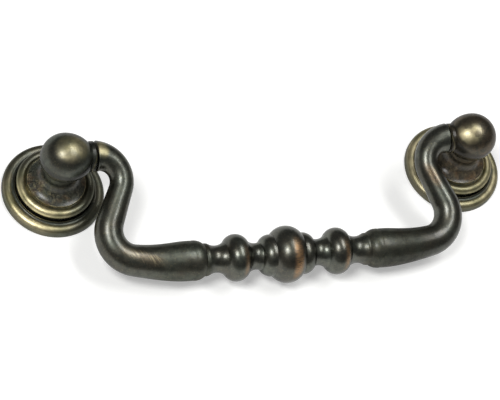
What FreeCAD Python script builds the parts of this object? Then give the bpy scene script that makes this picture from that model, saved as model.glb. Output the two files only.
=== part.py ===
import FreeCAD, Part
import math
import os

from FreeCAD import Rotation, Vector

# Bail pull for a drawer front: a swan-neck bail with a turned grip, hung
# between two ball-topped posts, each on a stepped round rosette. It lies on
# its back, as it would on a bench. The origin is on the mounting plane,
# midway between the two screw holes. X runs along the row of posts, Z points
# out of the mounting plane, and the bail lies towards -Y. Millimetres.

# Driving dimensions
post_spacing = 96.0
pivot_height = 15.0

# Rosette, widths from the seat of the post's foot outwards
seat_height = 4.25
dish_sag = 0.05
ring_width = 2.05
ring_height = 4.75
ring_roll_radius = 1.1
ring_roll_turn = 115.0
ring_overhang = 0.15
groove_width = 0.3
groove_height = 1.9
step_lip_height = 2.5
border_width = 2.55
cove_sag = 0.22
rim_roll_radius = 1.3
rim_roll_turn = 115.0
rosette_edge_height = 0.8
rosette_wall = 1.1
hub_wall = 1.5

# Post
foot_diameter = 13.0
foot_gap = 0.15
foot_edge_height = 0.7
foot_sag = 1.15
neck_diameter = 7.4
neck_height = 9.4
shank_diameter = 6.0
shank_clearance = 0.1
shank_chamfer = 0.4
ball_diameter = 10.9
collar_start = 5.2
collar_length = 1.2
collar_diameter = 6.7
collar_edge = 0.25

# Screw hole up the middle of the post, M4 core size
screw_core_diameter = 3.3
screw_hole_depth = 10.5
screw_mouth_chamfer = 0.3
drill_point_angle = 118.0

# Pivot: a pin on each end of the bail turns in a blind bore in the ball
pin_diameter = 3.0
pin_clearance = 0.08
pin_length = 4.8
pin_chamfer = 0.3
bore_end_gap = 0.5
face_gap = 0.3

# Swan-neck path of the bail, from its end face to the grip
bend_radius = 5.4
leg_slant = 23.5
leg_length = 7.5
elbow_radius = 6.3
sweep_turn = 10.5
plain_grip_length = 3.0

# Bar diameters along that path
end_diameter = 6.9
bend_diameter = 5.45
leg_top_diameter = 5.3
leg_foot_diameter = 6.1
elbow_end_diameter = 7.0
sweep_end_diameter = 8.66
grip_diameter = 8.76
end_edge = 0.25

# Turned middle of the grip, distances from its centre
ball_bead_diameter = 12.74
ball_bead_half_length = 3.4
step_diameter = 9.24
step_length = 2.8
step_sag = 0.55
inner_neck_diameter = 6.3
inner_cove_length = 3.0
inner_cove_sag = 0.45
bead_diameter = 10.5
bead_length = 5.2
bead_foot_diameter = 7.38
outer_cove_length = 3.7
outer_cove_sag = 0.55
fillet_bead_diameter = 6.84
fillet_bead_length = 1.1
fillet_bead_sag = 0.13
shoulder_length = 2.8
shoulder_sag = 0.34

# The bail lies back until its middle bead meets the mounting surface
rest_gap = 0.02

# How far from a plane an edge may be and still count as lying in it
plane_tolerance = 0.001


# Outlines, drawn as (across, along) pairs in the XZ plane

def at(across, along):
    return Vector(across, 0, along)


def line(start, end):
    return Part.LineSegment(start, end).toShape()


def sagged_arc(start, end, sag):
    """Arc whose middle stands off the chord by sag, to the left of the way from start to end."""
    chord = end - start
    left = Vector(-chord.z, 0, chord.x).normalize()
    middle = (start + end) * 0.5 + left * sag
    return Part.Arc(start, middle, end).toShape()


def on_circle(centre, radius, degrees):
    angle = math.radians(degrees)
    return centre + Vector(radius * math.cos(angle), 0, radius * math.sin(angle))


def circle_arc(centre, radius, first, last):
    start = on_circle(centre, radius, first)
    middle = on_circle(centre, radius, (first + last) / 2)
    end = on_circle(centre, radius, last)
    return Part.Arc(start, middle, end).toShape()


def level_arc(top, end):
    """Arc that leaves top along Z and comes down to end."""
    run = end.z - top.z
    fall = top.x - end.x
    radius = (run * run + fall * fall) / (2 * fall)
    centre = top - Vector(radius, 0, 0)
    half = math.degrees(math.atan2(run, radius - fall)) / 2
    return Part.Arc(top, on_circle(centre, radius, half), end).toShape()


def polyline(points):
    return [line(a, b) for a, b in zip(points[:-1], points[1:])]


def revolved(edges):
    """Solid of a closed outline turned about Z."""
    face = Part.Face(Part.Wire(edges))
    return face.revolve(Vector(0, 0, 0), Vector(0, 0, 1), 360)


def turned_along_x(solid):
    """Turn a solid made about Z so that its axis is X."""
    turned = solid.copy()
    turned.rotate(Vector(0, 0, 0), Vector(0, 1, 0), 90)
    return turned


def cylinder(radius, length, base, direction):
    return Part.makeCylinder(radius, length, base, direction)


def edges_at(solid, x):
    """Edges that lie flat in the plane across X at this place."""
    return [
        edge for edge in solid.Edges
        if all(abs(vertex.X - x) < plane_tolerance for vertex in edge.Vertexes)
    ]


def mirrored(shape):
    """The same piece for the other end, mirrored across the middle."""
    return shape.mirror(Vector(0, 0, 0), Vector(1, 0, 0))


# Rosette: a hollow-backed casting with two rolled rims

def rosette():
    seat = at(foot_diameter / 2 + foot_gap, seat_height)
    ring = seat.x + ring_width
    wall = ring - ring_overhang
    lip = at(wall + groove_width, step_lip_height)
    outer = lip.x + border_width
    hole = shank_diameter / 2 + shank_clearance
    hub = hole + hub_wall

    rim_centre = at(outer - rim_roll_radius, rosette_edge_height)
    rim_inside = on_circle(rim_centre, rim_roll_radius, rim_roll_turn)
    ring_centre = at(ring - ring_roll_radius, ring_height - ring_roll_radius)
    wall_angle = -math.degrees(math.acos(1 - ring_overhang / ring_roll_radius))
    wall_top = on_circle(ring_centre, ring_roll_radius, wall_angle)
    ring_inside = on_circle(ring_centre, ring_roll_radius, ring_roll_turn)

    edges = [
        line(at(outer, 0), at(outer, rosette_edge_height)),
        circle_arc(rim_centre, rim_roll_radius, 0, rim_roll_turn),
        sagged_arc(rim_inside, lip, cove_sag),
        line(lip, at(wall, groove_height)),
        line(at(wall, groove_height), wall_top),
        circle_arc(ring_centre, ring_roll_radius, wall_angle, ring_roll_turn),
        sagged_arc(ring_inside, seat, dish_sag),
    ]
    low_ceiling = groove_height - rosette_wall
    high_ceiling = seat_height - rosette_wall
    edges += polyline([
        seat,
        at(hole, seat_height),
        at(hole, 0),
        at(hub, 0),
        at(hub, high_ceiling),
        at(wall - rosette_wall, high_ceiling),
        at(wall - rosette_wall, low_ceiling),
        at(outer - rosette_wall, low_ceiling),
        at(outer - rosette_wall, 0),
        at(outer, 0),
    ])
    return revolved(edges)


# Post: shank, foot, neck and ball in one casting, with a collar facing the bail

def post_stem():
    shank = shank_diameter / 2
    foot = foot_diameter / 2
    foot_top = at(foot, seat_height + foot_edge_height)
    neck = at(neck_diameter / 2, neck_height)
    edges = polyline([
        at(0, 0),
        at(shank - shank_chamfer, 0),
        at(shank, shank_chamfer),
        at(shank, seat_height),
        at(foot, seat_height),
        foot_top,
    ])
    edges.append(sagged_arc(foot_top, neck, foot_sag))
    edges += polyline([
        neck,
        at(neck.x, pivot_height),
        at(0, pivot_height),
        at(0, 0),
    ])
    return revolved(edges)


def post_ball():
    """Ball drawn out towards the bail, ending in a short collar. Its axis is the pivot axis."""
    ball = ball_diameter / 2
    collar = collar_diameter / 2
    collar_end = collar_start + collar_length
    collar_root = at(collar - collar_edge, collar_start)
    edges = [
        circle_arc(at(0, 0), ball, -90, 0),
        level_arc(at(ball, 0), collar_root),
    ]
    edges += polyline([
        collar_root,
        at(collar, collar_start + collar_edge),
        at(collar, collar_end - collar_edge),
        at(collar - collar_edge, collar_end),
        at(0, collar_end),
        at(0, -ball),
    ])
    return turned_along_x(revolved(edges))


def screw_hole():
    """Blind tapped hole from the mounting plane, with the drill's cone at its end."""
    core = screw_core_diameter / 2
    cone = core / math.tan(math.radians(drill_point_angle / 2))
    edges = polyline([
        at(0, 0),
        at(core + screw_mouth_chamfer, 0),
        at(core, screw_mouth_chamfer),
        at(core, screw_hole_depth),
        at(0, screw_hole_depth + cone),
        at(0, 0),
    ])
    return revolved(edges)


def post():
    ball = post_ball()
    ball.translate(Vector(0, 0, pivot_height))
    body = post_stem().fuse(ball).removeSplitter()
    bore_end = pin_tip() - bore_end_gap
    bore_bottom = Vector(bore_end, 0, pivot_height)
    bore_length = bail_face() - bore_end
    bore = cylinder(pin_diameter / 2 + pin_clearance, bore_length, bore_bottom, Vector(1, 0, 0))
    return body.cut(bore).cut(screw_hole())


def bail_face():
    """Distance from the post's axis to the end face of the bail."""
    return collar_start + collar_length + face_gap


def pin_tip():
    return bail_face() - pin_length


# Bail: the swan-neck path, bar and turned grip, drawn flat with the pivot axis on X

def turned_point(point, degrees):
    return Rotation(Vector(0, 0, 1), degrees).multVec(point)


def walk(length, turn):
    """Middle and end of one stretch of the path that starts at the origin along X."""
    if turn == 0:
        return Vector(length / 2, 0, 0), Vector(length, 0, 0)
    radius = length / math.radians(turn)
    points = []
    for share in (0.5, 1):
        angle = math.radians(turn * share)
        points.append(Vector(radius * math.sin(angle), radius * (1 - math.cos(angle)), 0))
    return points


def turned_lengths():
    """Lengths of the turned forms on one half of the grip, from its centre outwards."""
    return [
        ball_bead_half_length,
        step_length,
        inner_cove_length,
        bead_length,
        outer_cove_length,
        fillet_bead_length,
        shoulder_length,
    ]


def arc_length(radius, turn):
    return radius * math.radians(abs(turn))


def leg_stretches():
    """Length, turn and closing diameter of each stretch of the left leg, from its end face."""
    bend_turn = 90 + leg_slant
    elbow_turn = bend_turn - sweep_turn
    half_bend = arc_length(bend_radius, bend_turn / 2)
    return [
        (half_bend, -bend_turn / 2, bend_diameter),
        (half_bend, -bend_turn / 2, leg_top_diameter),
        (leg_length, 0, leg_foot_diameter),
        (arc_length(elbow_radius, elbow_turn), elbow_turn, elbow_end_diameter),
    ]


def sweep_stretch(elbow_end):
    """The sweep takes up what the post spacing leaves between the elbow and the plain grip."""
    room = -sum(turned_lengths()) - plain_grip_length - elbow_end.x
    radius = room / math.sin(math.radians(sweep_turn))
    return arc_length(radius, sweep_turn), sweep_turn, sweep_end_diameter


def leg_path():
    """Edges of the path and the sections along it, as position, heading and diameter."""
    edges = []
    sections = [(Vector(-post_spacing / 2 + bail_face(), 0, 0), 0, end_diameter)]

    def add(length, turn, diameter):
        position, heading, last_diameter = sections[-1]
        middle, end = [position + turned_point(point, heading) for point in walk(length, turn)]
        if turn == 0:
            edges.append(line(position, end))
        else:
            edges.append(Part.Arc(position, middle, end).toShape())
        sections.append((end, heading + turn, diameter))

    for stretch in leg_stretches():
        add(*stretch)
    add(*sweep_stretch(sections[-1][0]))
    return edges, sections


def grip_drop():
    """Distance from the pivot axis to the axis of the grip."""
    edges, sections = leg_path()
    return -sections[-1][0].y


def bar_section(position, heading, diameter):
    section = Part.Wire(Part.makeCircle(diameter / 2, Vector(0, 0, 0), Vector(1, 0, 0)))
    section.rotate(Vector(0, 0, 0), Vector(0, 0, 1), heading)
    section.translate(position)
    return section


def bar():
    """Left leg of the bail, swept from its end face to the shoulder of the grip."""
    edges, sections = leg_path()
    shoulder = Vector(-sum(turned_lengths()), -grip_drop(), 0)
    edges.append(line(sections[-1][0], shoulder))
    sections.append((shoulder, 0, grip_diameter))
    sweep = Part.BRepOffsetAPI.MakePipeShell(Part.Wire(edges))
    for position, heading, diameter in sections:
        sweep.add(bar_section(position, heading, diameter), False, False)
    sweep.build()
    sweep.makeSolid()
    leg = sweep.shape()
    return leg.makeFillet(end_edge, edges_at(leg, sections[0][0].x))


def turned_half():
    """Half of the turned middle of the grip about Z, from the ball bead out to the shoulder."""
    lengths = turned_lengths()
    stops = [sum(lengths[:count]) for count in range(1, len(lengths) + 1)]
    ball_top = at(ball_bead_diameter / 2, 0)
    step_start = at(step_diameter / 2, stops[0])
    cove_start = at(inner_neck_diameter / 2, stops[1])
    bead_start = at(bead_foot_diameter / 2, stops[2])
    bead_end = at(bead_foot_diameter / 2, stops[3])
    fillet_start = at(fillet_bead_diameter / 2, stops[4])
    shoulder_start = at(fillet_bead_diameter / 2 + fillet_bead_sag, stops[5])
    shoulder_end = at(grip_diameter / 2, stops[6])
    bead_sag = (bead_diameter - bead_foot_diameter) / 2
    edges = [
        level_arc(ball_top, step_start),
        sagged_arc(step_start, cove_start, -step_sag),
        sagged_arc(cove_start, bead_start, inner_cove_sag),
        sagged_arc(bead_start, bead_end, -bead_sag),
        sagged_arc(bead_end, fillet_start, outer_cove_sag),
        sagged_arc(fillet_start, shoulder_start, -fillet_bead_sag),
        sagged_arc(shoulder_start, shoulder_end, -shoulder_sag),
    ]
    edges += polyline([shoulder_end, at(0, stops[6]), at(0, 0), ball_top])
    return revolved(edges)


def pivot_pin():
    """Pin on the end face of the left leg, pointing into the left ball."""
    start = -post_spacing / 2 + bail_face()
    pin = cylinder(pin_diameter / 2, pin_length, Vector(start, 0, 0), Vector(-1, 0, 0))
    return pin.makeChamfer(pin_chamfer, edges_at(pin, start - pin_length))


def bail():
    right_turned = turned_along_x(turned_half())
    right_turned.translate(Vector(0, -grip_drop(), 0))
    left = bar().fuse([mirrored(right_turned), pivot_pin()])
    whole = left.fuse(mirrored(left)).removeSplitter()
    angle = rest_angle()
    whole.rotate(Vector(0, 0, 0), Vector(1, 0, 0), angle)
    whole.translate(Vector(0, 0, pivot_height))
    return whole


def rest_angle():
    """Slope of the bail's plane when its middle bead lies on the mounting surface."""
    lowest = pivot_height - ball_bead_diameter / 2 - rest_gap
    return math.degrees(math.asin(lowest / grip_drop()))


# Nodes

def build():
    left = Vector(-post_spacing / 2, 0, 0)
    left_post = post()
    left_post.translate(left)
    left_rosette = rosette()
    left_rosette.translate(left)
    return {
        "bail": bail(),
        "left_post": left_post,
        "right_post": mirrored(left_post),
        "left_rosette": left_rosette,
        "right_rosette": mirrored(left_rosette),
    }


os.makedirs("parts", exist_ok=True)
for name, shape in build().items():
    shape.exportStep("parts/" + name + ".step")
    print(name, "valid", shape.isValid(), "solids", len(shape.Solids), "volume", round(shape.Volume, 2))
print("grip drop", round(grip_drop(), 3), "rest angle", round(rest_angle(), 3))
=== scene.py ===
import math

import bpy
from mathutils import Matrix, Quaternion, Vector

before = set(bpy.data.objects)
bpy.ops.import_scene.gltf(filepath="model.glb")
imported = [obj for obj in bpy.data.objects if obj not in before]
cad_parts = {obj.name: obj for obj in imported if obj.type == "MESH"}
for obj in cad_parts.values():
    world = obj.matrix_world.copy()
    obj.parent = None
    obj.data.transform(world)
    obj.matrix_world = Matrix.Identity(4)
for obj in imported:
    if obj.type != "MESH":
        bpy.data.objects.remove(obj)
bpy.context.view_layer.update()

# Rosettes
# Two round backplates of cast brass, stepped up to the seat of the post's foot.
# Each was blackened all over, then its rolled rims were rubbed back to the brass, so the coves and the groove stay
# dark; the groove is painted near black, partly that patina and partly painted shade. The left one's brass is painted
# brightest on the side its lamp lights, a painted highlight, and dims to near nothing on the far side, painted shade.
# The back was left as cast.

POST_OFFSET = 48.0        # mm from the middle to a post's axis
RING_START = 6.75         # mm, all radii from the post's axis
LIP_RADIUS = 8.85
COVE_EDGE = 9.6
RIM_EDGE = 11.4
RING_FOOT = 3.6           # mm above the mounting plane, where the rubbing of the ring stops
WALL_BLACK = 1.2          # mm above it, the rim's outer wall is rubbed more and more from here
WALL_RUBBED = 2.0
WANDER = 0.3              # mm, how far the edges of the rubbing wander
RUBBED_AND_LIT_MIDDLE = (-54.5, -5.5, 2.0)        # mm, where the left one's brass is strongest: rubbed brass painted brightest where the left lamp falls, a painted highlight
RUBBED_AND_LIT_SIZE = (12.5, 11.0, 30.0)
RIGHT_RUBBED = 0.6        # how far the right one was rubbed all round

BRASS = "#dfd3a8"
BRASS_OLIVE = "#9e976f"
COPPER_WEAR = "#b08a62"
PATINA_GREEN = "#555a51"
PATINA_BROWN = "#4d4b42"
PATINA_RED = "#67543f"
PATINA_BLACK = "#373933"
# Near black, for patina kept in hollows and for painted shade.
DEPOSIT_AND_SHADE = "#161512"

MOTTLE_SIZE = 5.0         # mm, clouds of brown and green in the patina
RUB_SIZE = 1.6            # mm, patches that the rubbing left
GRAIN_SIZE = 0.35         # mm, casting grain under the patina
DENT_SIZE = 2.4           # mm, hand-filed unevenness of the casting
SCRATCH_SIZE = 0.16       # mm, width of the finest rubbing marks
RECESS_REACH = 0.7        # mm, how near another wall has to be for the near-black patina and painted shade to show


def linear(code):
    """Linear colour of an sRGB hex code."""
    channels = [int(code[place:place + 2], 16) / 255 for place in (1, 3, 5)]
    low = [value / 12.92 for value in channels]
    high = [((value + 0.055) / 1.055) ** 2.4 for value in channels]
    return tuple(a if value <= 0.04045 else b for value, a, b in zip(channels, low, high)) + (1.0,)


def node(tree, kind, inputs=None, **settings):
    """Add a shader node, set its properties, and fill its inputs with values or links."""
    made = tree.nodes.new(kind)
    for name, value in settings.items():
        setattr(made, name, value)
    for place, value in (inputs or {}).items():
        if isinstance(value, bpy.types.NodeSocket):
            tree.links.new(value, made.inputs[place])
        else:
            made.inputs[place].default_value = value
    return made


def new_material(name):
    """Empty material, with the place on its piece in millimetres and the way its surface faces."""
    material = bpy.data.materials.new(name)
    material.use_nodes = True
    tree = material.node_tree
    tree.nodes.clear()
    coordinates = node(tree, "ShaderNodeTexCoord")
    place = node(tree, "ShaderNodeVectorMath", {0: coordinates.outputs["Object"], "Scale": 1000.0},
                 operation="SCALE").outputs[0]
    return material, tree, place, coordinates.outputs["Normal"]


def band(tree, value, low, high, fade, strength=1.0):
    """Mask that is at strength between low and high and fades out past both."""
    rise = node(tree, "ShaderNodeMapRange",
                {"Value": value, "From Min": low - fade, "From Max": low + fade},
                interpolation_type="SMOOTHSTEP").outputs[0]
    fall = node(tree, "ShaderNodeMapRange",
                {"Value": value, "From Min": high - fade, "From Max": high + fade, "To Min": strength, "To Max": 0.0},
                interpolation_type="SMOOTHSTEP").outputs[0]
    return node(tree, "ShaderNodeMath", {0: rise, 1: fall}, operation="MULTIPLY").outputs[0]


def greatest(tree, masks):
    """The strongest of several masks at each place."""
    result = masks[0]
    for mask in masks[1:]:
        result = node(tree, "ShaderNodeMath", {0: result, 1: mask}, operation="MAXIMUM").outputs[0]
    return result


def patch(tree, place, centre, size, turn=0.0, strength=1.0):
    """Mask of a soft oval patch: its middle and half sizes in millimetres, its turn about Z in degrees."""
    moved = node(tree, "ShaderNodeMapping", {
        "Vector": place,
        "Location": centre,
        "Rotation": (0.0, 0.0, math.radians(turn)),
        "Scale": size,
    }, vector_type="TEXTURE")
    reach = node(tree, "ShaderNodeVectorMath", {0: moved.outputs[0]}, operation="LENGTH")
    return node(tree, "ShaderNodeMapRange", {"Value": reach.outputs["Value"], "From Min": 1.0, "From Max": 0.35,
                                             "To Max": strength}, interpolation_type="SMOOTHSTEP").outputs[0]


def scratches(tree, place, turn, length, width):
    """Mask of straight scratches in the plane of the mounting surface, turned in degrees, sizes in millimetres."""
    lines = node(tree, "ShaderNodeMapping", {
        "Vector": place,
        "Rotation": (0.0, 0.0, math.radians(turn)),
        "Scale": (length, width, 3 * width),
    }, vector_type="TEXTURE")
    lines = node(tree, "ShaderNodeTexNoise", {"Vector": lines.outputs[0], "Scale": 1.0, "Detail": 1.0})
    return node(tree, "ShaderNodeMapRange", {"Value": lines.outputs["Fac"], "From Min": 0.55,
                                             "From Max": 0.65}).outputs[0]


def antique_brass(tree, place, relief=0.0, copper=0.0, red=0.0, black=0.0, polish=0.0, pitted=0.0):
    """Blackened brass: masks for bare metal, its redder wear, red patina, full black (kept patina and painted shade),
    smooth and pitted places; recesses go near black the same way.
    """
    mottle = node(tree, "ShaderNodeTexNoise", {"Vector": place, "Scale": 1 / MOTTLE_SIZE, "Detail": 5.0})
    rub = node(tree, "ShaderNodeTexNoise", {"Vector": place, "Scale": 1 / RUB_SIZE, "Detail": 6.0,
                                            "Roughness": 0.62})
    grain = node(tree, "ShaderNodeTexNoise", {"Vector": place, "Scale": 1 / GRAIN_SIZE, "Detail": 3.0})
    dents = node(tree, "ShaderNodeTexNoise", {"Vector": place, "Scale": 1 / DENT_SIZE, "Detail": 2.0})
    stretched = node(tree, "ShaderNodeVectorMath", {0: place, 1: (0.12, 1.0, 0.7)}, operation="MULTIPLY")
    scratch = node(tree, "ShaderNodeTexNoise", {"Vector": stretched.outputs[0], "Scale": 1 / SCRATCH_SIZE,
                                                "Detail": 2.0})

    cloud = node(tree, "ShaderNodeMapRange", {"Value": mottle.outputs["Fac"], "From Min": 0.38, "From Max": 0.62})
    patina = node(tree, "ShaderNodeMix", {0: cloud.outputs[0], 6: linear(PATINA_BROWN), 7: linear(PATINA_GREEN)},
                  data_type="RGBA").outputs[2]
    patina = node(tree, "ShaderNodeMix", {0: red, 6: patina, 7: linear(PATINA_RED)}, data_type="RGBA").outputs[2]
    blackening = node(tree, "ShaderNodeMapRange", {"Value": rub.outputs["Fac"], "From Min": 0.4, "From Max": 0.66,
                                                   "To Max": 0.8})
    patina = node(tree, "ShaderNodeMix", {0: blackening.outputs[0], 6: patina, 7: linear(PATINA_BLACK)},
                  data_type="RGBA").outputs[2]

    broken = node(tree, "ShaderNodeMapRange", {"Value": rub.outputs["Fac"], "From Min": 0.3, "From Max": 0.6,
                                               "To Min": 0.6, "To Max": 1.1})
    relief = node(tree, "ShaderNodeMath", {0: relief, 1: broken.outputs[0]}, operation="MULTIPLY",
                  use_clamp=True).outputs[0]
    metal = node(tree, "ShaderNodeMix", {0: cloud.outputs[0], 6: linear(BRASS), 7: linear(BRASS_OLIVE)},
                 data_type="RGBA").outputs[2]
    colour = node(tree, "ShaderNodeMix", {0: relief, 6: patina, 7: metal}, data_type="RGBA").outputs[2]
    speck = node(tree, "ShaderNodeMapRange", {"Value": grain.outputs["Fac"], "From Min": 0.55, "From Max": 0.75,
                                              "To Max": 0.2}).outputs[0]
    colour = node(tree, "ShaderNodeMix", {0: speck, 6: colour, 7: linear(BRASS_OLIVE)}, data_type="RGBA").outputs[2]

    torn = node(tree, "ShaderNodeMapRange", {"Value": scratch.outputs["Fac"], "From Min": 0.35, "From Max": 0.6,
                                             "To Min": 0.35, "To Max": 1.0})
    copper = node(tree, "ShaderNodeMath", {0: copper, 1: torn.outputs[0]}, operation="MULTIPLY").outputs[0]
    colour = node(tree, "ShaderNodeMix", {0: copper, 6: colour, 7: linear(COPPER_WEAR)},
                  data_type="RGBA").outputs[2]

    # Recesses, found by occlusion, are painted towards near black and rougher: partly the patina kept in hollows,
    # partly painted shade.
    openness = node(tree, "ShaderNodeAmbientOcclusion", {"Distance": RECESS_REACH / 1000.0}, samples=8,
                    only_local=True)
    deposit_and_shade = node(tree, "ShaderNodeMapRange", {"Value": openness.outputs["AO"], "From Min": 0.75, "From Max": 0.4,
                                                "To Max": 0.6}).outputs[0]
    deposit_and_shade = node(tree, "ShaderNodeMath", {0: deposit_and_shade, 1: black}, operation="MAXIMUM").outputs[0]
    colour = node(tree, "ShaderNodeMix", {0: deposit_and_shade, 6: colour, 7: linear(DEPOSIT_AND_SHADE)}, data_type="RGBA").outputs[2]

    worn = greatest(tree, [relief, copper])
    roughness = node(tree, "ShaderNodeMix", {0: polish, 2: 0.48, 3: 0.36}, data_type="FLOAT").outputs[0]
    roughness = node(tree, "ShaderNodeMix", {0: worn, 2: roughness, 3: 0.46}, data_type="FLOAT")
    streaks = node(tree, "ShaderNodeMapRange", {"Value": scratch.outputs["Fac"], "From Min": 0.3, "From Max": 0.7,
                                                "To Min": -0.05, "To Max": 0.06})
    roughness = node(tree, "ShaderNodeMath", {0: roughness.outputs[0], 1: streaks.outputs[0]}, operation="ADD")
    roughness = node(tree, "ShaderNodeMix", {0: deposit_and_shade, 2: roughness.outputs[0], 3: 0.7}, data_type="FLOAT")
    lacquer = node(tree, "ShaderNodeMix", {0: polish, 2: 0.3, 3: 0.8}, data_type="FLOAT").outputs[0]
    lacquer = node(tree, "ShaderNodeMix", {0: worn, 2: lacquer, 3: 0.4}, data_type="FLOAT").outputs[0]

    uneven = node(tree, "ShaderNodeBump", {"Height": dents.outputs["Fac"], "Distance": 0.00005, "Strength": 0.5})
    pits = node(tree, "ShaderNodeBump", {"Height": rub.outputs["Fac"], "Distance": 0.0009, "Strength": pitted,
                                         "Normal": uneven.outputs[0]})
    cast = node(tree, "ShaderNodeBump", {"Height": grain.outputs["Fac"], "Distance": 0.000016, "Strength": 0.5,
                                         "Normal": pits.outputs[0]})
    rubbed = node(tree, "ShaderNodeBump", {"Height": scratch.outputs["Fac"], "Distance": 0.000003, "Strength": 0.4,
                                           "Normal": cast.outputs[0]})

    surface = node(tree, "ShaderNodeBsdfPrincipled", {
        "Base Color": colour,
        "Metallic": 1.0,
        "Specular Tint": (0.3, 0.3, 0.3, 1.0),
        "Roughness": roughness.outputs[0],
        "Coat Weight": lacquer,
        "Coat Roughness": 0.26,
        "Normal": rubbed.outputs[0],
    })
    node(tree, "ShaderNodeOutputMaterial", {"Surface": surface.outputs[0]})


def axis_distance(tree, place):
    """Distance from the nearer post's axis in millimetres, and height above the mounting surface."""
    split = node(tree, "ShaderNodeSeparateXYZ", {0: place})
    across = node(tree, "ShaderNodeMath", {0: split.outputs["X"]}, operation="ABSOLUTE")
    across = node(tree, "ShaderNodeMath", {0: across.outputs[0], 1: POST_OFFSET}, operation="SUBTRACT")
    flat = node(tree, "ShaderNodeCombineXYZ", {"X": across.outputs[0], "Y": split.outputs["Y"]})
    radius = node(tree, "ShaderNodeVectorMath", {0: flat.outputs[0]}, operation="LENGTH").outputs["Value"]
    return radius, split.outputs["Z"]


def rosette_brass():
    """Two pale olive-gold rings of rubbed brass, painted brightest on the left one's lamp side as a painted
    highlight, with near-black coves and groove between them, partly patina and partly painted shade.
    """
    material, tree, place, facing = new_material("antique brass, rubbed rims")
    radius, height = axis_distance(tree, place)
    wobble = node(tree, "ShaderNodeTexNoise", {"Vector": place, "Scale": 1 / RUB_SIZE, "Detail": 4.0})
    wobble = node(tree, "ShaderNodeMapRange", {"Value": wobble.outputs["Fac"], "To Min": -WANDER,
                                                "To Max": WANDER})
    loose = node(tree, "ShaderNodeMath", {0: radius, 1: wobble.outputs[0]}, operation="ADD").outputs[0]
    top = node(tree, "ShaderNodeMapRange", {"Value": height, "From Min": RING_FOOT - 0.25,
                                            "From Max": RING_FOOT + 0.25}).outputs[0]
    ring = node(tree, "ShaderNodeMath", {0: band(tree, loose, RING_START, LIP_RADIUS + 1.0, 0.3), 1: top},
                operation="MULTIPLY").outputs[0]
    wall = node(tree, "ShaderNodeMapRange", {"Value": height, "From Min": WALL_BLACK, "From Max": WALL_RUBBED,
                                             "To Min": 0.15})
    rim = node(tree, "ShaderNodeMath", {0: band(tree, loose, COVE_EDGE, RIM_EDGE + 1.0, 0.3), 1: wall.outputs[0]},
               operation="MULTIPLY").outputs[0]
    # The step's lip is a thin line of brass: partly edge wear, partly a painted highlight along the edge.
    lip = band(tree, radius, LIP_RADIUS - 0.04, LIP_RADIUS + 0.05, 0.04, 0.5)
    relief = greatest(tree, [ring, rim, lip])
    # The groove under the ring is painted near black: partly blackening that no rubbing reached, partly painted shade
    # in the recess.
    inside = node(tree, "ShaderNodeMath", {0: radius, 1: LIP_RADIUS}, operation="LESS_THAN").outputs[0]
    under = node(tree, "ShaderNodeMath", {0: height, 1: RING_FOOT}, operation="LESS_THAN").outputs[0]
    groove = node(tree, "ShaderNodeMath", {0: inside, 1: under}, operation="MULTIPLY").outputs[0]
    groove = node(tree, "ShaderNodeMath", {0: groove, 1: 0.8}, operation="MULTIPLY").outputs[0]
    # Painted light: on the left rosette the rubbed brass is kept mostly on the side its lamp lights, a painted
    # highlight, and cut to 0.08 on the far side, painted shade; the right one keeps RIGHT_RUBBED all round.
    rubbed = patch(tree, place, RUBBED_AND_LIT_MIDDLE, RUBBED_AND_LIT_SIZE)
    along = node(tree, "ShaderNodeSeparateXYZ", {0: place}).outputs["X"]
    right = node(tree, "ShaderNodeMath", {0: along, 1: 0.0}, operation="GREATER_THAN").outputs[0]
    right = node(tree, "ShaderNodeMath", {0: right, 1: RIGHT_RUBBED}, operation="MULTIPLY").outputs[0]
    rubbed = greatest(tree, [rubbed, right])
    rubbed = node(tree, "ShaderNodeMapRange", {"Value": rubbed, "To Min": 0.08}).outputs[0]
    relief = node(tree, "ShaderNodeMath", {0: relief, 1: rubbed}, operation="MULTIPLY").outputs[0]
    turned_down = node(tree, "ShaderNodeSeparateXYZ", {0: facing}).outputs["Z"]
    back = node(tree, "ShaderNodeMapRange", {"Value": turned_down, "From Min": -0.4, "From Max": -0.8,
                                             "To Max": 0.6}).outputs[0]
    antique_brass(tree, place, relief, black=groove, pitted=back)
    return material


rosette_material = rosette_brass()
for name in ("left_rosette", "right_rosette"):
    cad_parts[name].material_slots[0].material = rosette_material

# Posts
# Two cast brass posts, each a ball on a waisted neck and flared foot, with a short collar that the bail turns
# against. The tops of the balls are rubbed by hands down to olive brass, each cap turned towards where the lamps
# catch it, so it is also a painted highlight; bright specks on the front of the left foot are partly brushed metal,
# partly painted glints. The foot shows brown where it wore through.

FOOT_RADIUS = 6.5         # mm
FOOT_END = 8.5            # mm above the mounting plane, where the foot gives way to the neck
FOOT_FULL = 7.0
LEFT_WORN_AND_LIT_WAY = (0.07, -0.1, 0.99)        # the way that the cap of each ball faces: rubbed brass, turned towards the lamps' highlights, so partly a painted highlight
RIGHT_WORN_AND_LIT_WAY = (-0.42, -0.3, 0.86)
LEFT_CAP_EDGE = 0.72      # cosine of the angle from that way at which each cap begins
RIGHT_CAP_EDGE = 0.84
CAP_MIDDLE = 0.98         # and at which both are at their brightest
CAP_LOW = 15.0            # mm above the mounting plane, below which no ball is rubbed
CAP_HIGH = 16.5
BALL_EDGE = 5.2           # mm from the post's axis, so that the collar isn't rubbed
BALL_FULL = 4.8
SMEAR_SIZE = 2.2          # mm, patches that the wear left on the caps
SPECK_SIZE = 0.7          # mm, bright specks on the pitted foot: partly brushed metal, partly painted glints
COPPER_SCALE = 0.45       # per mm, patches of coppery wear on the foot
BRUSHED_GLINT_MIDDLE = (-52.6, -3.2, 5.6)       # mm, the front of the left foot, where the specks are strongest, as painted glints
BRUSHED_GLINT_SIZE = (4.5, 4.2, 3.5)
COLLAR_START = 5.3        # mm from the post's axis
COLLAR_LOW = 7.95         # mm above the mounting plane, clear of the foot
BORED_RADIUS = 2.2        # mm, the screw hole and its mouth were cut after the blackening
BORED_TOP = 12.0


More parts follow.
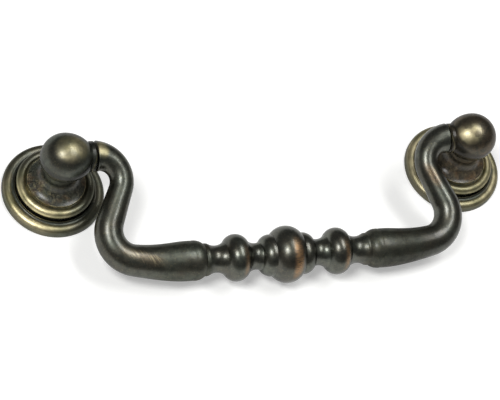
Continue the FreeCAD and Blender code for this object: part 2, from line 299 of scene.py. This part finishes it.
def post_brass():
    """Dark balls with a rubbed golden cap on top, partly a painted highlight, over a pitted brown foot with a thin
    bright edge, partly a painted highlight.
    """
    material, tree, place, facing = new_material("antique brass, hand-worn")
    radius, height = axis_distance(tree, place)
    across = node(tree, "ShaderNodeSeparateXYZ", {0: place}).outputs["X"]
    right = node(tree, "ShaderNodeMath", {0: across, 1: 0.0}, operation="GREATER_THAN").outputs[0]
    # Painted highlight: each cap of rubbed brass is aimed at where the lamps catch its ball, the right one towards
    # the left lamp, and widened to lighten the top.
    worn_and_lit_way = node(tree, "ShaderNodeMix", {0: right, 4: LEFT_WORN_AND_LIT_WAY, 5: RIGHT_WORN_AND_LIT_WAY}, data_type="VECTOR")
    facing_up = node(tree, "ShaderNodeVectorMath", {0: facing, 1: worn_and_lit_way.outputs[1]}, operation="DOT_PRODUCT")
    cap_edge = node(tree, "ShaderNodeMix", {0: right, 2: LEFT_CAP_EDGE, 3: RIGHT_CAP_EDGE},
                    data_type="FLOAT").outputs[0]
    cap = node(tree, "ShaderNodeMapRange", {"Value": facing_up.outputs["Value"], "From Min": cap_edge,
                                            "From Max": CAP_MIDDLE, "To Max": 0.6}, interpolation_type="SMOOTHSTEP")
    near = node(tree, "ShaderNodeMapRange", {"Value": radius, "From Min": BALL_EDGE, "From Max": BALL_FULL})
    high = node(tree, "ShaderNodeMapRange", {"Value": height, "From Min": CAP_LOW, "From Max": CAP_HIGH})
    cap = node(tree, "ShaderNodeMath", {0: cap.outputs[0], 1: high.outputs[0]}, operation="MULTIPLY")
    cap = node(tree, "ShaderNodeMath", {0: cap.outputs[0], 1: near.outputs[0]}, operation="MULTIPLY")
    smears = node(tree, "ShaderNodeTexNoise", {"Vector": place, "Scale": 1 / SMEAR_SIZE, "Detail": 4.0})
    least = node(tree, "ShaderNodeMix", {0: right, 2: 0.6, 3: 0.3}, data_type="FLOAT").outputs[0]
    smears = node(tree, "ShaderNodeMapRange", {"Value": smears.outputs["Fac"], "From Min": 0.42, "From Max": 0.58,
                                               "To Min": least})
    cap = node(tree, "ShaderNodeMath", {0: cap.outputs[0], 1: smears.outputs[0]}, operation="MULTIPLY").outputs[0]
    # The foot's rim is a thin line of brass: partly edge wear, partly a painted highlight along the edge.
    edge = band(tree, radius, FOOT_RADIUS - 0.1, FOOT_RADIUS + 0.1, 0.06, 0.7)
    bore = node(tree, "ShaderNodeMapRange", {"Value": radius, "From Min": BORED_RADIUS + 0.1,
                                             "From Max": BORED_RADIUS, "To Max": 0.8}).outputs[0]
    low = node(tree, "ShaderNodeMath", {0: height, 1: BORED_TOP}, operation="LESS_THAN").outputs[0]
    bore = node(tree, "ShaderNodeMath", {0: bore, 1: low}, operation="MULTIPLY").outputs[0]
    specks = node(tree, "ShaderNodeTexNoise", {"Vector": place, "Scale": 1 / SPECK_SIZE, "Detail": 4.0})
    specks = node(tree, "ShaderNodeMapRange", {"Value": specks.outputs["Fac"], "From Min": 0.42, "From Max": 0.68,
                                               "To Max": 0.5})
    foot = node(tree, "ShaderNodeMapRange", {"Value": height, "From Min": FOOT_END, "From Max": FOOT_FULL}).outputs[0]
    # Painted glints: the specks are strongest on the front of the left foot, where the lamps catch it; elsewhere they
    # keep a tenth.
    brushed_glints = patch(tree, place, BRUSHED_GLINT_MIDDLE, BRUSHED_GLINT_SIZE)
    brushed_glints = node(tree, "ShaderNodeMapRange", {"Value": brushed_glints, "To Min": 0.1}).outputs[0]
    brushed_glints = node(tree, "ShaderNodeMath", {0: brushed_glints, 1: foot}, operation="MULTIPLY").outputs[0]
    specks = node(tree, "ShaderNodeMath", {0: specks.outputs[0], 1: brushed_glints}, operation="MULTIPLY").outputs[0]
    relief = greatest(tree, [cap, edge, bore, specks])
    patches = node(tree, "ShaderNodeTexNoise", {"Vector": place, "Scale": COPPER_SCALE, "Detail": 5.0})
    patches = node(tree, "ShaderNodeMapRange", {"Value": patches.outputs["Fac"], "From Min": 0.5, "From Max": 0.7,
                                                "To Max": 0.4})
    copper = node(tree, "ShaderNodeMath", {0: patches.outputs[0], 1: foot}, operation="MULTIPLY").outputs[0]
    red = node(tree, "ShaderNodeMath", {0: right, 1: 0.5}, operation="MULTIPLY").outputs[0]
    collar = node(tree, "ShaderNodeMapRange", {"Value": radius, "From Min": COLLAR_START,
                                               "From Max": COLLAR_START + 0.15, "To Max": 0.6}).outputs[0]
    above = node(tree, "ShaderNodeMath", {0: height, 1: COLLAR_LOW}, operation="GREATER_THAN").outputs[0]
    collar = node(tree, "ShaderNodeMath", {0: collar, 1: above}, operation="MULTIPLY").outputs[0]
    # The foot is painted a little darker.
    darker_foot = node(tree, "ShaderNodeMath", {0: foot, 1: 0.12}, operation="MULTIPLY").outputs[0]
    collar = greatest(tree, [collar, darker_foot])
    smooth = node(tree, "ShaderNodeMapRange", {"Value": foot, "To Min": 0.4, "To Max": 0.7}).outputs[0]
    antique_brass(tree, place, relief, copper, red, collar, smooth, pitted=foot)
    return material


post_material = post_brass()
for name in ("left_post", "right_post"):
    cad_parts[name].material_slots[0].material = post_material

# Bail
# One brass casting from ball to ball: slender swan-neck legs that swell into a
# grip with turned beads. It is blackened like the posts, with the front of the
# elbows and the flanks of the beads worn to a coppery brown.

WORN_FLANKS = (                           # start, end in mm along the grip, and how far it is worn
    (-10.9, -9.9, 0.6),
    (0.1, 2.1, 0.9),
    (12.5, 13.6, 0.7),
)
WEAR_WAY = (0.0, -0.62, 0.78)             # the way that the worn flanks face
TURNED_END = 18.0                         # mm, half length of the turned middle
SMOOTH_LEFT = -31.0                       # mm, beyond these the bar is smooth from handling
SMOOTH_RIGHT = 33.0
SMOOTH_FADE = 3.0                         # mm
ELBOW_WEAR = (-33.8, -22.4, 10.1)         # mm, middle of the scratched patch
ELBOW_WEAR_SIZE = (7.5, 1.9, 2.5)
ELBOW_WEAR_TURN = -24.0                   # degrees, along the bar
ELBOW_COPPER = 0.12                       # how far it is worn to copper
ELBOW_SHADE = (34.0, -25.0, 7.0)           # mm, painted shade: the right elbow and the bar beside it are darkened and dulled
ELBOW_SHADE_SIZE = (19.0, 9.0, 11.0)
END_WEAR_AND_GLINT = (-40.2, 0.0, 18.0)             # mm, where the left end is rubbed to brass, with a painted glint
END_WEAR_AND_GLINT_SIZE = (1.8, 2.8, 1.6)
LEG_WEAR = (36.0, -8.3, 13.9)             # mm, scratches on the right leg
LEG_WEAR_SIZE = (1.4, 4.8, 2.0)
LEG_WEAR_TURN = 25.0
LEG_COPPER = 0.25
SCRATCH_TURN = -62.0                      # degrees, across the bar
SCRATCH_LENGTH = 2.4                      # mm
SCRATCH_WIDTH = 0.22                      # mm, twice the real width so that the render shows them
SCRATCH_DEPTH = 0.2                       # how much brass shows in them


def bail_brass():
    """A near-black bar with long soft highlights, and coppery brown where hands wore it."""
    material, tree, place, facing = new_material("antique brass, dark")
    along = node(tree, "ShaderNodeSeparateXYZ", {0: place}).outputs["X"]
    facing_front = node(tree, "ShaderNodeVectorMath", {0: facing, 1: WEAR_WAY}, operation="DOT_PRODUCT")
    front = node(tree, "ShaderNodeMapRange", {"Value": facing_front.outputs["Value"], "From Min": 0.6,
                                              "From Max": 0.92}).outputs[0]
    flanks = greatest(tree, [band(tree, along, start, end, 0.6, strength) for start, end, strength in WORN_FLANKS])
    flanks = node(tree, "ShaderNodeMath", {0: flanks, 1: front}, operation="MULTIPLY").outputs[0]
    elbow = patch(tree, place, ELBOW_WEAR, ELBOW_WEAR_SIZE, ELBOW_WEAR_TURN)
    browned = node(tree, "ShaderNodeMath", {0: elbow, 1: ELBOW_COPPER}, operation="MULTIPLY").outputs[0]
    leg = patch(tree, place, LEG_WEAR, LEG_WEAR_SIZE, LEG_WEAR_TURN)
    leg_browned = node(tree, "ShaderNodeMath", {0: leg, 1: LEG_COPPER}, operation="MULTIPLY").outputs[0]
    copper = greatest(tree, [flanks, browned, leg_browned])
    scored = node(tree, "ShaderNodeMath", {0: greatest(tree, [elbow, leg]),
                                           1: scratches(tree, place, SCRATCH_TURN, SCRATCH_LENGTH, SCRATCH_WIDTH)},
                  operation="MULTIPLY").outputs[0]
    scored = node(tree, "ShaderNodeMath", {0: scored, 1: SCRATCH_DEPTH}, operation="MULTIPLY").outputs[0]
    # The left end's rubbed patch is partly wear, partly a painted glint.
    relief = greatest(tree, [patch(tree, place, END_WEAR_AND_GLINT, END_WEAR_AND_GLINT_SIZE, strength=0.75), scored])
    turned = band(tree, along, -TURNED_END, TURNED_END, 1.0)
    left_leg = node(tree, "ShaderNodeMapRange", {"Value": along, "From Min": SMOOTH_LEFT + SMOOTH_FADE,
                                                 "From Max": SMOOTH_LEFT - SMOOTH_FADE, "To Max": 0.7}).outputs[0]
    right_side = node(tree, "ShaderNodeMapRange", {"Value": along, "From Min": SMOOTH_RIGHT - SMOOTH_FADE,
                                                   "From Max": SMOOTH_RIGHT + SMOOTH_FADE}).outputs[0]
    smooth = greatest(tree, [turned, left_leg, right_side])
    # Painted shade: the right elbow and bar are darkened towards near black where the room leaves them dark.
    elbow_shade = patch(tree, place, ELBOW_SHADE, ELBOW_SHADE_SIZE, strength=0.35)
    antique_brass(tree, place, relief, copper, 0.04, elbow_shade, smooth)
    return material


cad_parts["bail"].material_slots[0].material = bail_brass()

# Floor
# A wide white table that takes the pull's soft shadow. A little light of its
# own, seen by the camera and in the metal, keeps it as white as the
# photograph's paper.

FLOOR_RADIUS = 1.5
FLOOR_COLOUR = "#e8e8e6"
FLOOR_LIFT = 0.35         # added where the camera sees the table or the metal mirrors it
FLOOR_DROP = 0.00002      # m, so that the table and the rosettes' backs share no plane

bpy.ops.mesh.primitive_circle_add(vertices=96, radius=FLOOR_RADIUS, fill_type="NGON", location=(0, 0, -FLOOR_DROP))
floor = bpy.context.object
floor.name = "floor"
floor_material = bpy.data.materials.new("white table")
floor_material.use_nodes = True
floor_tree = floor_material.node_tree
floor_tree.nodes.clear()
rays = node(floor_tree, "ShaderNodeLightPath").outputs
seen = node(floor_tree, "ShaderNodeMath", {0: rays["Is Camera Ray"], 1: rays["Is Glossy Ray"]}, operation="MAXIMUM")
lift = node(floor_tree, "ShaderNodeMath", {0: seen.outputs[0], 1: FLOOR_LIFT}, operation="MULTIPLY").outputs[0]
matt = node(floor_tree, "ShaderNodeBsdfDiffuse", {"Color": linear(FLOOR_COLOUR)})
glow = node(floor_tree, "ShaderNodeEmission", {"Strength": lift})
both = node(floor_tree, "ShaderNodeAddShader", {0: matt.outputs[0], 1: glow.outputs[0]})
node(floor_tree, "ShaderNodeOutputMaterial", {"Surface": both.outputs[0]})
floor.data.materials.append(floor_material)

# Light
# A soft square lamp from the left, which gives each ball its glint, a long
# lamp from the right, which draws the lines along the legs, and a dim room.


def lamp(name, position, target, size, power):
    light = bpy.data.lights.new(name, "AREA")
    light.shape = "RECTANGLE"
    light.size, light.size_y = size
    light.energy = power
    holder = bpy.data.objects.new(name, light)
    holder.location = position
    way = Vector(target) - Vector(position)
    holder.rotation_euler = way.to_track_quat("-Z", "Y").to_euler()
    bpy.context.scene.collection.objects.link(holder)


lamp("left lamp", (-0.44, -0.15, 0.85), (0, 0, 0), (0.27, 0.27), 5.2)
lamp("right lamp", (0.31, 0.06, 0.83), (0, 0, 0), (0.55, 0.2), 3.8)

world = bpy.data.worlds.new("room")
bpy.context.scene.world = world
world.use_nodes = True
world.node_tree.nodes["Background"].inputs["Color"].default_value = (1, 1, 1, 1)
world.node_tree.nodes["Background"].inputs["Strength"].default_value = 0.12

# Camera
# The photograph's view: from the front left and above, tilted so that the
# grip runs almost level.

FRAME_WIDTH = 500.0                       # pixels
FOCAL_LENGTH = 2208.0                     # pixels of that frame
CAMERA_PLACE = Vector((-0.16506, -0.22750, 0.41687))
CAMERA_TARGET = Vector((-0.0060, -0.0092, 0.0080))
CAMERA_ROLL = 27.9                        # degrees
SENSOR_WIDTH = 36.0                       # mm

camera_data = bpy.data.cameras.new("camera")
camera_data.sensor_width = SENSOR_WIDTH
camera_data.lens = FOCAL_LENGTH / FRAME_WIDTH * SENSOR_WIDTH
camera = bpy.data.objects.new("camera", camera_data)
camera.location = CAMERA_PLACE
aim = (CAMERA_TARGET - CAMERA_PLACE).to_track_quat("-Z", "Y")
camera.rotation_euler = (aim @ Quaternion((0, 0, 1), math.radians(CAMERA_ROLL))).to_euler()
bpy.context.scene.collection.objects.link(camera)
bpy.context.scene.camera = camera

bpy.context.scene.view_settings.view_transform = "Standard"
